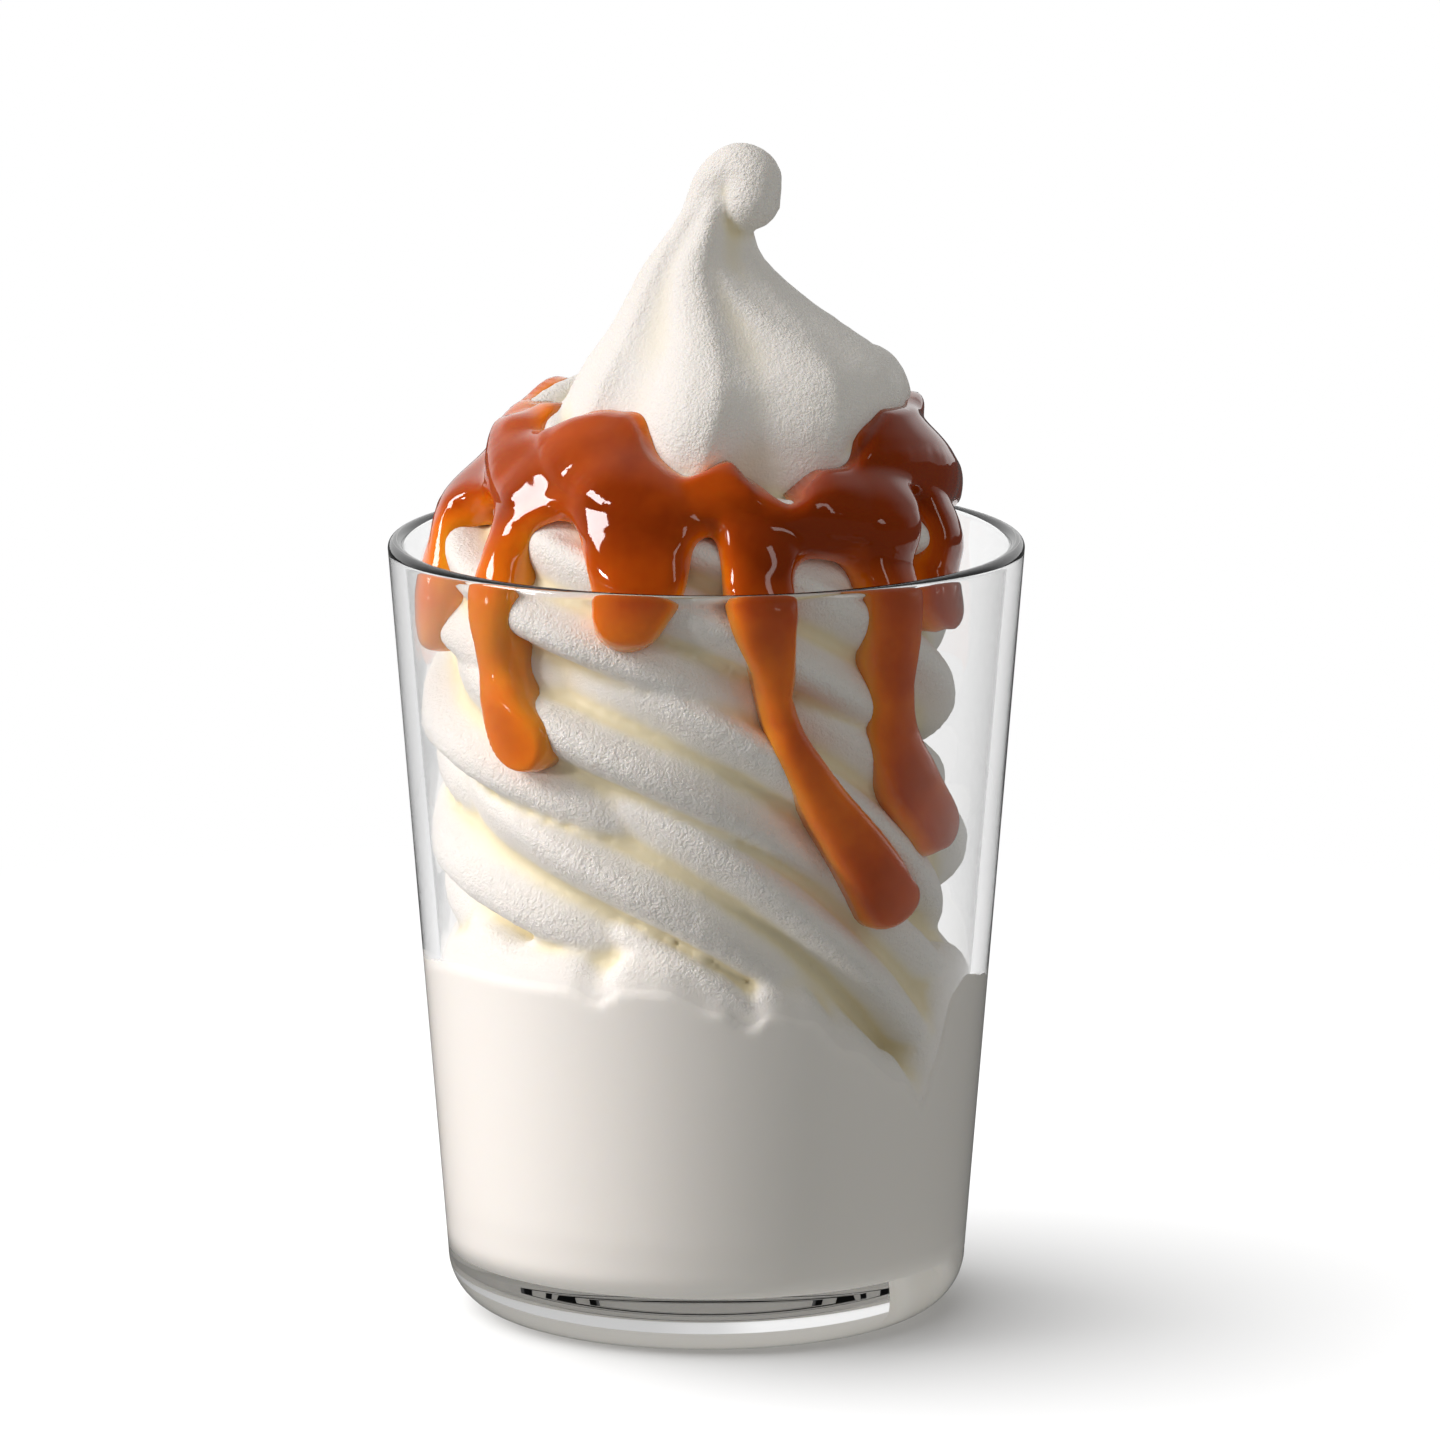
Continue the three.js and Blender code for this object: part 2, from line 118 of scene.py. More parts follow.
# The tip that folds over: X, Y, Z and radius.
CURL_PATH = [
    (1.2, 0.6, 146, 4.4), (2.2, 0.6, 149.6, 4), (4.2, 0, 151.7, 3.9), (6, -1.2, 150.9, 3.9),
    (6, -2.2, 148.3, 3.8),
]

# Where the soft serve leaves the wall: bearing and height.
FILL_EDGE = [
    (-180, 46.8), (-148, 49.2), (-120, 49.2), (-113, 47.6), (-107, 49.6), (-100, 49.6), (-88, 46.8),
    (-81, 44.6), (-76.5, 46.4), (-68, 45), (-59, 40.3), (-43, 34.6), (-37, 31), (-33, 36.5), (-28, 45),
    (-22, 46.8), (-10, 45.5), (0, 43.5), (40, 45), (80, 42.5), (120, 46), (150, 44), (180, 46.8),
]
# Above that edge the fill curves back from the wall: how far back, and how far up.
FILL_SHOULDER = [(0.1, 0.5), (0.5, 1.6), (1.2, 3), (2.6, 4.4)]
FILL_RISE = 5  # how far the fill's middle stands above its edge
CREAM_VOXEL = 0.74
CREAM_ROUNDS = 2
LOOK_ROUNDS = 60  # smoothing that a place is compared with, to tell crests from valleys
SWELL, SWELL_SIZE = 0.14, 9  # broad unevenness: how high and how wide
GRAIN, CREST_GRAIN, GRAIN_SIZE = 0.02, 0.05, 1.5  # fine unevenness: everywhere, more on the crests, how wide
CORE_RADIUS = 24
CORE_LOW, CORE_HIGH = 20, 104

# The sauce's collar: bearing and height of the crests and hollows of its upper edge, and of its lower edge.
COLLAR_TOP = [
    (-180, 117.5), (-166, 118.8), (-158, 118.5), (-130, 121.2), (-101, 115), (-88, 117.3),
    (-74.5, 110.8), (-57, 115.8), (-50, 115.6), (-28, 122), (-10, 121.4), (8, 122), (30, 118.5),
    (50, 121), (75, 118), (100, 121), (130, 118.5), (155, 121.5), (180, 117.5),
]
COLLAR_BOTTOM = [
    (-180, 108), (-158, 109.8), (-145, 108), (-126, 110), (-110, 106), (-88, 109.6), (-79, 106),
    (-67, 105.6), (-48, 104), (-28, 112), (-8, 108), (15, 106), (35, 109), (50, 105), (75, 108),
    (100, 105), (130, 109), (155, 106), (180, 108),
]
COLLAR_THICKNESS = 1.7

# Streams, each from where it rises out of the collar to its end: bearing, height and half-width.
STREAMS = [
    [(-172, 118, 3.4), (-178, 112, 3.4), (-176, 106, 3.4), (-170, 101, 3.6), (-166, 97, 3.6),
     (-165, 92.5, 2.8)],
    [(-139, 119, 3), (-143, 114, 4), (-144, 110, 3.4), (-141, 104, 3), (-138, 98.5, 3.2),
     (-137, 91, 2.8), (-133, 85.5, 3.4), (-128, 81.5, 4.3)],
    [(-124, 119, 3), (-118, 114, 4.6), (-109, 109.5, 6), (-104.5, 104, 6.2), (-104.5, 100.5, 5.2),
     (-105, 99, 4.8)],
    [(-80, 112, 2.6), (-78, 108, 4.6), (-77, 103, 4.8), (-75.5, 98, 4.1), (-73, 92, 2.7),
     (-71, 86, 2.2), (-67, 80, 2.5), (-61, 73.5, 3), (-53, 66.5, 3.8), (-45, 60, 4.4)],
    [(-38, 117, 3), (-40, 111, 4.2), (-42, 105, 4.8), (-42, 99, 4.3), (-42, 92, 3.9),
     (-41, 86, 3.7), (-39, 79, 4), (-35, 73, 4.3), (-30, 68.5, 4.4)],
    [(-12, 116, 3), (-13, 110, 5), (-15, 104, 5.4), (-18, 99, 5.2), (-19, 97.5, 4.8)],
    [(172, 117, 3), (176, 112, 3.6), (179, 107, 3.2)],
    [(150, 117, 4.4), (148, 104, 3.8), (146, 93, 3.3), (143, 86.5, 4.2)],
    [(112, 116, 4), (112, 104, 4.6), (110, 99, 4.4)],
    [(72, 117, 4.6), (69, 102, 4), (66, 89, 3.3), (64, 82, 4.2)],
    [(32, 116, 4.6), (30, 105, 4.4), (28, 100, 4)],
]
STREAM_DOME = 0.62  # a stream's height as a share of its half-width
STREAM_DOMES = (1.8, 3.1)  # its least and its greatest height
SAUCE_BEARINGS = 480
SAUCE_STEP = 0.4
SAUCE_LOW, SAUCE_HIGH = 54, 128
SAUCE_REACHES = [(104, 33), (112, 28), (122, 23)]  # how far out it lies by height, for widths across it
SAUCE_BEND = 1.3  # how widely the sauce's streams run together
SAUCE_LIP = 1.5  # width of its rounded edge
SAUCE_ROUNDS = 8  # how much its thickness is evened out
SAUCE_SUNK = 0.7  # how far its underside lies in the soft serve
CLOSE_ROWS, CLOSE_FALL, CLOSE_ROUNDS = 2, 0.03, 2  # where it clings: rows it bridges, and how evenly
BRIDGE_ROWS, BRIDGE_ROUNDS = 26, 40  # where it hangs over the coil's valleys
BRIDGE_FALL = [(100, 0.003), (114, 0.03)]  # height, and how fast it drops into a valley there
EDGE_BRIDGED = 0.65  # how much of that it still does at its edge
EDGE_REACH = 2.5
NORMAL_ROUNDS = 6
OUTLINE_PULL = 0.75  # how far a corner may be drawn to the outline, in cells

# How much deeper the sauce's colour is than its thickness alone makes it: pooled in the collar, by height,
# and painted shade, darker on the side away from the key lamp, by bearing.
POOLED = 2.2
POOLED_HEIGHTS = (97, 112)
# Painted shade: the bearings where it comes in and where it goes out, how much more the collar pools there,
# and how much deeper it makes the colour.
PAINTED_SHADE_FROM = (-95, -60)
PAINTED_SHADE_TO = (10, 60)
PAINTED_SHADE_POOL = 0.6
PAINTED_SHADE = 1.3

# ---- Colours and the studio's tones --------------------------------------------------------------

# Painted shade: the soft serve's colour turns darker and yellower from the crests down into the valleys
# between the flutes.
CREAM = [  # from the crests to the valleys
    (0.0, (0.90, 0.868, 0.80)),
    (0.25, (0.89, 0.84, 0.71)),
    (0.7, (0.86, 0.77, 0.52)),
]
# The sauce's colour by depth, where depth holds its thickness and pooling and also painted shade on the side
# away from the key lamp.
AMBER = [  # from thin to deep
    (0.2, (0.92, 0.3, 0.012)),
    (0.45, (0.86, 0.2, 0.006)),
    (0.7, (0.55, 0.085, 0.003)),
    (1.0, (0.27, 0.033, 0.001)),
]
KEY_WHITE = (1, 0.955, 0.97)
STRIP_WHITE = (1, 0.97, 0.95)
GLASS_PASSES = 0.965  # the share of the lamps' light that passes the glass

# What the sundae mirrors and bends, place and tone.
BACKDROP = [(0.0, 0.03), (0.45, 0.05), (0.75, 0.4), (0.9, 1.0)]  # from in front of it to behind it
IN_GLASS = [(0.0, 0.95), (0.42, 0.95), (0.5, 0.7), (0.58, 0.6)]  # from its left to its right
FILL_LIGHT = 0.3  # what its surroundings light it with
BACKDROP_FROM, BACKDROP_SPEED = 0.9, 1.6  # how the tones in front fade out towards the back

# The floor, in metres from its middle.
FLOOR_TONES = [(0.3, 0.79), (0.7, 0.81)]
FLOOR_FADES = [(0.12, 0.0), (0.3, 1.0)]  # into the white round it
FLOOR_GLOW = [(0.03, 0.6), (0.05, 0.3)]  # what it lights the sundae with
FLOOR_IN_GLASS = [(0.06, 1.0), (0.1, 0.0)]  # where the foot bends the light to it
FLOOR_IN_GLASS_TONE = 0.5
FLOOR_MIRRORED_TONE = 0.08
FLOOR_FRONT, FLOOR_FRONT_SPEED = 0.12, 5  # how the mirrored floor fades out towards the back

# ---- Reading the tables --------------------------------------------------------------------------


def smooth_step(x, low, high):
    t = np.clip((x - low) / (high - low), 0, 1)
    return t * t * (3 - 2 * t)


def curve_at(values, place):
    """A smooth curve through evenly spaced values, read at places counted from 0."""
    values = np.asarray(values, float)
    last = len(values) - 1
    place = np.clip(place, 0, last)
    i = np.floor(place).astype(int)
    t = place - i
    before = values[np.maximum(i - 1, 0)]
    low = values[i]
    high = values[np.minimum(i + 1, last)]
    after = values[np.minimum(i + 2, last)]
    rise = (high - before) / 2
    fall = (after - low) / 2
    cubic = 2 * (low - high) + rise + fall
    square = 3 * (high - low) - 2 * rise - fall
    return cubic * t**3 + square * t**2 + rise * t + low


def columns_at(rows, place):
    return [curve_at(column, place) for column in zip(*rows)]


def table_at(rows, place):
    """Straight-line reading of a table whose first column is the place."""
    first, *rest = zip(*rows)
    return [np.interp(place, first, column) for column in rest]


def lean_at(z):
    return table_at(LEAN, z)[0]


def waves_at(rows, bearing):
    """Reading of a table of crests and hollows, with a smooth wave between each two."""
    places, heights = (np.array(column, float) for column in zip(*rows))
    bearing = (np.asarray(bearing, float) + 180) % 360 - 180
    i = np.clip(np.searchsorted(places, bearing, side="right") - 1, 0, len(places) - 2)
    share = smooth_step(bearing, places[i], places[i + 1])
    return heights[i] + (heights[i + 1] - heights[i]) * share


def flute(phase):
    """A fluted outline's swell, from -1 to 1: broad round crests with a valley between each two."""
    return 0.55 * (2 * np.abs(np.cos(phase / 2)) - 1) + 0.45 * np.cos(phase)


def fill_edge_at(bearing):
    """Height of the fill's edge on the wall, at bearings in degrees."""
    return waves_at(FILL_EDGE, bearing)


def outer_radius(z):
    return GLASS_FOOT + (GLASS_RIM - GLASS_FOOT) * (z - FOOT_CORNER) / (GLASS_HEIGHT - FOOT_CORNER)


def inner_radius(z):
    return outer_radius(z) - GLASS_WALL


# ---- Meshes --------------------------------------------------------------------------------------


def polar(radius, bearing, z):
    """Points from radii, bearings in radians and heights."""
    radius, bearing, z = np.broadcast_arrays(radius, bearing, z)
    return np.stack([radius * np.cos(bearing), radius * np.sin(bearing), z], axis=-1)


def unit(vectors):
    return vectors / np.linalg.norm(vectors, axis=-1, keepdims=True)


def shell(rings):
    """A closed skin over rings of points: its corners and its faces."""
    rings = np.asarray(rings, float)
    count, around = rings.shape[:2]
    low = np.arange(around)
    high = (low + 1) % around
    faces = []
    for i in range(count - 1):
        a = i * around
        b = a + around
        faces += np.stack([a + low, a + high, b + high, b + low], axis=1).tolist()
    faces.append(low[::-1].tolist())
    faces.append(((count - 1) * around + low).tolist())
    points = rings.reshape(-1, 3)
    return points, faces


def mesh_object(name, shells):
    """One object from closed shells in millimetres."""
    points = []
    faces = []
    start = 0
    for placed, sides in shells:
        points.append(placed)
        faces += [[start + k for k in side] for side in sides]
        start += len(placed)
    mesh = bpy.data.meshes.new(name)
    mesh.from_pydata((np.concatenate(points) * MM).tolist(), [], faces)
    piece = bpy.data.objects.new(name, mesh)
    bpy.context.scene.collection.objects.link(piece)
    return piece


def applied(piece):
    """The piece with its modifiers applied."""
    graph = bpy.context.evaluated_depsgraph_get()
    made = bpy.data.meshes.new_from_object(piece.evaluated_get(graph))
    made.name = piece.name
    piece.modifiers.clear()
    piece.data = made
    return piece


def fused(piece, voxel, rounds, factor=0.5):
    """Shells that overlap become one skin, whose creases are then rounded."""
    remesh = piece.modifiers.new("fuse", "REMESH")
    remesh.mode = "VOXEL"
    remesh.voxel_size = voxel * MM
    remesh.adaptivity = 0
    smooth = piece.modifiers.new("round", "SMOOTH")
    smooth.factor = factor
    smooth.iterations = rounds
    return applied(piece)


def corners(mesh):
    flat = np.empty(len(mesh.vertices) * 3, np.float32)
    mesh.vertices.foreach_get("co", flat)
    return flat.reshape(-1, 3).astype(float) / MM


def normals(mesh):
    flat = np.empty(len(mesh.vertices) * 3, np.float32)
    mesh.vertices.foreach_get("normal", flat)
    return flat.reshape(-1, 3).astype(float)


def set_corners(mesh, points):
    mesh.vertices.foreach_set("co", (points * MM).astype(np.float32).ravel())
    mesh.update()


def smoothed_corners(piece, rounds):
    """Where the piece's corners would be after that many rounds of smoothing."""
    smooth = piece.modifiers.new("look", "SMOOTH")
    smooth.factor = 0.5
    smooth.iterations = rounds
    graph = bpy.context.evaluated_depsgraph_get()
    seen = piece.evaluated_get(graph)
    found = corners(seen.data)
    piece.modifiers.remove(smooth)
    return found


def write_attribute(mesh, name, values):
    layer = mesh.attributes.new(name, "FLOAT", "POINT")
    layer.data.foreach_set("value", np.asarray(values, np.float32))


def noise_at(points, size, octaves, seed):
    """Fractal noise from about -1 to 1 with features of a size in millimetres."""
    shift = Vector((seed * 17.3, seed * 5.1, seed * 9.7))
    scaled = (points / size).tolist()
    return np.array([noise.fractal(Vector(p) + shift, 1.0, 2.0, octaves) for p in scaled])


def shade_smooth(mesh):
    mesh.polygons.foreach_set("use_smooth", np.ones(len(mesh.polygons), bool))


# ---- Soft serve ----------------------------------------------------------------------------------


def section_at(quarter):
    """The rope's section at a place along the coil, in quarter turns."""
    size = 1 - ROPE_THINS_BY * smooth_step(quarter, ROPE_THINS_FROM, ROPE_END)
    deep = ROPE_DEPTH * size
    return {
        "z": curve_at(ROPE_HEIGHTS, quarter),
        "tall": curve_at(ROPE_HALF_HEIGHTS, quarter),
        "deep": deep,
        "middle": curve_at(ROPE_REACHES, quarter) - deep,
        "fluted": 1 - smooth_step(quarter, ROPE_THINS_FROM, ROPE_END - 1),
    }


def rope():
    rings_per_turn = 84
    points_per_flute = 9
    count = int(ROPE_END / 4 * rings_per_turn)
    quarter = np.linspace(0, ROPE_END, count + 1)[:, None]
    phase = np.linspace(0, 2 * math.pi, FLUTES * points_per_flute, endpoint=False)[None, :]
    s = section_at(quarter)
    facing = np.radians(curve_at(FLUTE_BEARINGS, (quarter - 1) / 4) + 90 * (quarter - 1))
    lobe = s["fluted"] * (FLUTE_CREST - FLUTE_DEPTH * (1 - flute(FLUTES * phase)) / 2)
    r = s["middle"] + (s["deep"] + lobe) * np.cos(phase + facing)
    z = s["z"] + (s["tall"] + lobe) * np.sin(phase + facing)
    rings = polar(r, -math.pi / 2 * quarter, z)
    rings[..., 0] += lean_at(s["z"])
    return shell(rings)


def peak():
    steps = 60
    share = np.linspace(0, 1, steps + 1)[:, None]
    z, radius, x = columns_at(PEAK_RINGS, share * (len(PEAK_RINGS) - 1))
    bearing = np.linspace(-180, 180, 144, endpoint=False)[None, :]
    rings = polar(radius * (1 - hollowed(bearing, share)), np.radians(bearing), z)
    rings[..., 0] += x
    rings[..., 1] -= PEAK_FORWARD * (1 - smooth_step(z, 118, 134))
    return shell(rings)


def hollowed(bearing, share):
    """How deep the peak's hollows are, as a share of its radius, at bearings and shares of its height."""
    deepest = 0
    for at_foot, at_tip, depth, left, right, start in PEAK_HOLLOWS:
        middle = at_foot + (at_tip - at_foot) * smooth_step(share, 0.35, 1)
        away = (bearing - middle + 180) % 360 - 180
        ridged = 1 - np.clip(-away / left, 0, 1) ** 2
        faded = 1 - smooth_step(away, 0, right)
        depth = depth * smooth_step(share, start, start + 0.3)
        deepest = np.maximum(deepest, depth * np.where(away < 0, ridged, faded))
    return deepest


def swept(path_at, last, steps, sides):
    """A round tube along a path of X, Y, Z and radius, with the middle and the radius of its end."""
    rings = []
    for place in np.linspace(0, last, steps + 1):
        x, y, z, radius = path_at(place)
        ahead = np.array(path_at(min(place + 0.05, last))[:3])
        behind = np.array(path_at(max(place - 0.05, 0))[:3])
        along = unit(ahead - behind)
        across = unit(np.cross((0, 1, 0), along))
        side = np.cross(along, across)
        angle = np.linspace(0, 2 * math.pi, sides, endpoint=False)[:, None]
        ring = np.array([x, y, z]) + radius * (across * np.cos(angle) + side * np.sin(angle))
        rings.append(ring)
    return shell(rings), np.array([x, y, z]), radius


def ball(centre, axes, steps=12, sides=24):
    """A closed ellipsoid on three axes, whose lengths are its radii."""
    tilt = np.linspace(0.02, math.pi - 0.02, steps + 1)[:, None]
    turn = np.linspace(0, 2 * math.pi, sides, endpoint=False)[None, :]
    across, along, out = (np.asarray(axis, float) for axis in axes)
    rings = (
        np.asarray(centre, float)
        + (np.sin(tilt) * np.cos(turn))[..., None] * across
        + (np.sin(tilt) * np.sin(turn))[..., None] * along
        + (np.cos(tilt) * np.ones_like(turn))[..., None] * out
    )
    return shell(rings)


def curl():
    last = len(CURL_PATH) - 1
    tube, centre, radius = swept(lambda place: columns_at(CURL_PATH, np.float64(place)), last, 24, 24)
    end = ball(centre, np.eye(3) * radius)
    return [tube, end]


def core():
    turn = np.linspace(0, 2 * math.pi, 64, endpoint=False)
    return shell([polar(CORE_RADIUS, turn, z) for z in (CORE_LOW, CORE_HIGH)])


def fill():
    """The soft serve that was pressed flat against the glass."""
    turn = np.linspace(0, 2 * math.pi, GLASS_SIDES, endpoint=False)
    edge = fill_edge_at(np.degrees(turn))
    low = GLASS_BASE + INNER_CORNER
    centre = inner_radius(GLASS_BASE) - INNER_CORNER
    reach = INNER_CORNER + PRESSED_IN
    rings = [polar(1, turn, GLASS_BASE - PRESSED_IN)]
    for angle in np.radians(np.linspace(-90, 0, 7)):
        rings.append(polar(centre + reach * math.cos(angle), turn, low + reach * math.sin(angle)))
    for share in np.linspace(0.1, 1, 10):
        z = low + (edge - low) * share
        rings.append(polar(inner_radius(z) + PRESSED_IN, turn, z))
    for back, rise in FILL_SHOULDER:
        rings.append(polar(inner_radius(edge) - back, turn, edge + rise))
    rings.append(polar(CORE_RADIUS, turn, edge + FILL_RISE))
    rings.append(polar(1, turn, edge + FILL_RISE))
    return shell(rings)


def kept_in_glass(points):
    """Points moved in where they would pass the wall: into it at the fill, and just clear of it above."""
    radius = np.hypot(points[:, 0], points[:, 1])
    z = points[:, 2]
    edge = fill_edge_at(np.degrees(np.arctan2(points[:, 1], points[:, 0])))
    low = edge - LEAVES_BELOW
    high = edge + LEAVES_ABOVE
    left = smooth_step(z, low, high)
    wall = inner_radius(z)
    limit = np.where(z < high, wall + PRESSED_IN * (1 - left), FREE)
    limit = np.minimum(limit, np.where(z >= low, wall - STANDS_OFF * (2 * left - 1), FREE))
    limit = np.where(z > GLASS_HEIGHT + 2, FREE, limit)
    scale = np.minimum(1, limit / np.maximum(radius, 1e-6))
    moved = points.copy()
    moved[:, :2] *= scale[:, None]
    return moved


def off_the_wall(points):
    """0 where the soft serve is pressed flat against the glass, 1 where it is free."""
    edge = fill_edge_at(np.degrees(np.arctan2(points[:, 1], points[:, 0])))
    free = smooth_step(points[:, 2] - edge, 0, 4)
    inner = np.hypot(points[:, 0], points[:, 1]) < CORE_RADIUS + 4
    return np.maximum(free, inner * (points[:, 2] > 40))


def soft_serve():
    """The fused soft serve, with its small unevenness, and how deep each place lies between the flutes, for
    painted shade in its valleys.
    """
    piece = mesh_object("vanilla_soft_serve", [fill(), core(), rope(), peak(), *curl()])
    fused(piece, CREAM_VOXEL, CREAM_ROUNDS)
    mesh = piece.data
    points = corners(mesh)
    free = off_the_wall(points)
    sunk = np.einsum("ij,ij->i", smoothed_corners(piece, LOOK_ROUNDS) - points, normals(mesh))
    crest = smooth_step(-sunk, -0.5, 0.5)
    swell = SWELL * noise_at(points, SWELL_SIZE, 2, 1)
    swell += (GRAIN + CREST_GRAIN * crest) * noise_at(points, GRAIN_SIZE, 3, 2)
    points += normals(mesh) * (swell * free)[:, None]
    set_corners(mesh, kept_in_glass(points))
    # Painted shade: how far each free place lies down in a valley, to darken and yellow its colour there.
    write_attribute(mesh, "valley", np.clip(1.5 * sunk, 0, 1) * free)
    write_attribute(mesh, "frost", crest * free)
    shade_smooth(mesh)
    return piece


# ---- Caramel sauce -------------------------------------------------------------------------------


def blurred(values, rounds):
    """A grid of values by bearing and height, each round averaged with its four neighbours."""
    for _ in range(rounds):
        below = np.concatenate([values[:, :1], values[:, :-1]], axis=1)
        above = np.concatenate([values[:, 1:], values[:, -1:]], axis=1)
        values = (2 * values + np.roll(values, 1, 0) + np.roll(values, -1, 0) + below + above) / 6
    return values


def highest_near(values, reach, fall):
    """A grid's highest value within some rows up or down, less so the further away."""
    rows = np.arange(values.shape[1])
    found = values
    for step in range(-reach, reach + 1):
        found = np.maximum(found, values[:, np.clip(rows + step, 0, rows[-1])] - fall * step * step)
    return found


def surface_radii(piece, bearing, z):
    """How far the piece's surface lies from the coil's axis, by bearing in radians and by height."""
    polygons = [tuple(polygon.vertices) for polygon in piece.data.polygons]
    tree = BVHTree.FromPolygons(corners(piece.data).tolist(), polygons)
    far = 60.0
    found = np.full((len(bearing), len(z)), CORE_RADIUS, float)
    for i, turn in enumerate(bearing):
        inward = Vector((-math.cos(turn), -math.sin(turn), 0))
        for k, level in enumerate(z):
            start = Vector((lean_at(level), 0, level)) - inward * far
            hit = tree.ray_cast(start, inward, far)[3]
            if hit is not None:
                found[i, k] = far - hit
    return found


def stream_fields(rows, bearing, z, reach):
    """How deep inside a stream each place is, in millimetres, and how high the stream stands there."""
    last = len(rows) - 1
    inside = np.full(np.broadcast(bearing, z).shape, -99.0)
    dome = np.zeros_like(inside)
    for place in np.linspace(0, last, last * 12 + 1):
        at, level, half = columns_at(rows, np.float64(place))
        around = np.radians((bearing - at + 180) % 360 - 180) * reach
        away = np.hypot(around, z - level)
        inside = np.maximum(inside, half - away)
        tall = np.clip(STREAM_DOME * half, *STREAM_DOMES) * smooth_step(place, -1, 2.2)
        dome = np.maximum(dome, tall * np.sqrt(np.clip(1 - (away / (1.15 * half)) ** 2, 0, 1)))
    return inside, dome


def sauce_fields(bearing, z, reach):
    """How deep inside the sauce's outline each place is, and how thick the sauce is there."""
    top = waves_at(COLLAR_TOP, bearing)
    bottom = waves_at(COLLAR_BOTTOM, bearing)
    inside = 0.85 * np.minimum(top - z, z - bottom)
    total = np.exp(inside / SAUCE_BEND)
    thick = (COLLAR_THICKNESS * (inside > -1)) ** 4
    for rows in STREAMS:
        deep, dome = stream_fields(rows, bearing, z, reach)
        total += np.exp(deep / SAUCE_BEND)
        thick += dome**4
    inside = SAUCE_BEND * np.log(total)
    lip = np.sqrt(1 - (1 - np.clip(inside / SAUCE_LIP, 0, 1)) ** 2)
    return inside, blurred(thick**0.25, SAUCE_ROUNDS) * lip


def kept_cells(inside):
    """Which cells of the grid lie in the outline, with none that meet at a corner alone."""
    middle = (inside[:, :-1] + inside[:, 1:]) / 2
    kept = (middle + np.roll(middle, -1, 0)) > 0
    for _ in range(4):
        right = np.roll(kept, -1, 0)
        falling = kept[:, 1:] & right[:, :-1] & ~kept[:, :-1] & ~right[:, 1:]
        rising = kept[:, :-1] & right[:, 1:] & ~kept[:, 1:] & ~right[:, :-1]
        kept[:, 1:] |= rising
        kept[:, :-1] |= falling
    return kept


def read_grid(values, i, k):
    """A grid read between its points: i wraps round, k doesn't."""
    low_i = np.floor(i).astype(int)
    low_k = np.clip(np.floor(k).astype(int), 0, values.shape[1] - 2)
    u = (i - low_i)[..., None]
    v = (k - low_k)[..., None]
    a = low_i % len(values)
    b = (low_i + 1) % len(values)
    near = values[a, low_k] * (1 - v) + values[a, low_k + 1] * v
    far = values[b, low_k] * (1 - v) + values[b, low_k + 1] * v
    return near * (1 - u) + far * u


def laid_base(bare, inside, bearing, z):
    """Where the sauce lies on the bare surface: close to it at the edge, over its valleys further in."""
    close = blurred(highest_near(bare, CLOSE_ROWS, CLOSE_FALL), CLOSE_ROUNDS)
    bridged = blurred(highest_near(bare, BRIDGE_ROWS, table_at(BRIDGE_FALL, z)[0]), BRIDGE_ROUNDS)
    share = EDGE_BRIDGED + (1 - EDGE_BRIDGED) * smooth_step(inside, 0, EDGE_REACH)
    skin = close + (np.maximum(bridged, close) - close) * share
    base = polar(skin, np.radians(bearing)[:, None], z[None, :])
    base[..., 0] += lean_at(z)[None, :]
    return base


def outward(base):
    """The outward direction at each point of a grid of bearings and heights."""
    along = np.roll(base, -1, 0) - np.roll(base, 1, 0)
    upward = np.gradient(base, axis=1)
    return unit(blurred(unit(np.cross(along, upward)), NORMAL_ROUNDS))


def outline_places(kept, inside):
    """The grid's points that kept cells use, where each is drawn to, and which lie on the outline."""
    used = np.zeros(inside.shape, int)
    for around in (0, 1):
        for up in (0, 1):
            used[:, up : up + kept.shape[1]] += np.roll(kept, around, 0)
    i, k = np.nonzero(used > 0)
    edge = used[i, k] < 4
    slope_i = (np.roll(inside, -1, 0) - np.roll(inside, 1, 0))[i, k] / 2
    slope_k = np.gradient(inside, axis=1)[i, k]
    pull = -inside[i, k] / np.maximum(slope_i**2 + slope_k**2, 1e-4) * edge
    at_i = i + np.clip(pull * slope_i, -OUTLINE_PULL, OUTLINE_PULL)
    at_k = k + np.clip(pull * slope_k, -OUTLINE_PULL, OUTLINE_PULL)
    return i, k, at_i, at_k, edge


def sunk_under(centre, bare, lean):
    """The sauce's underside: its points drawn in until they lie in the soft serve."""
    axis = np.stack([lean, 0 * lean], axis=1)
    flat = centre[:, :2] - axis
    now = np.linalg.norm(flat, axis=1)
    under = centre.copy()
    under[:, :2] = axis + flat * ((np.minimum(bare, now) - SAUCE_SUNK) / now)[:, None]
    return under


def sauce_faces(kept, number, shift):
    """Faces over the kept cells, the same turned round beneath, and a strip that joins their edges."""
    i, k = np.nonzero(kept)
    after = (i + 1) % len(kept)
    ends = [number[i, k], number[after, k], number[after, k + 1], number[i, k + 1]]
    quads = np.stack(ends, axis=1)
    edges = np.concatenate([quads[:, [a, (a + 1) % 4]] for a in range(4)]).tolist()
    seen = set(map(tuple, edges))
    strip = [[b, a, a + shift, b + shift] for a, b in edges if (b, a) not in seen]
    return quads.tolist() + (quads[:, ::-1] + shift).tolist() + strip


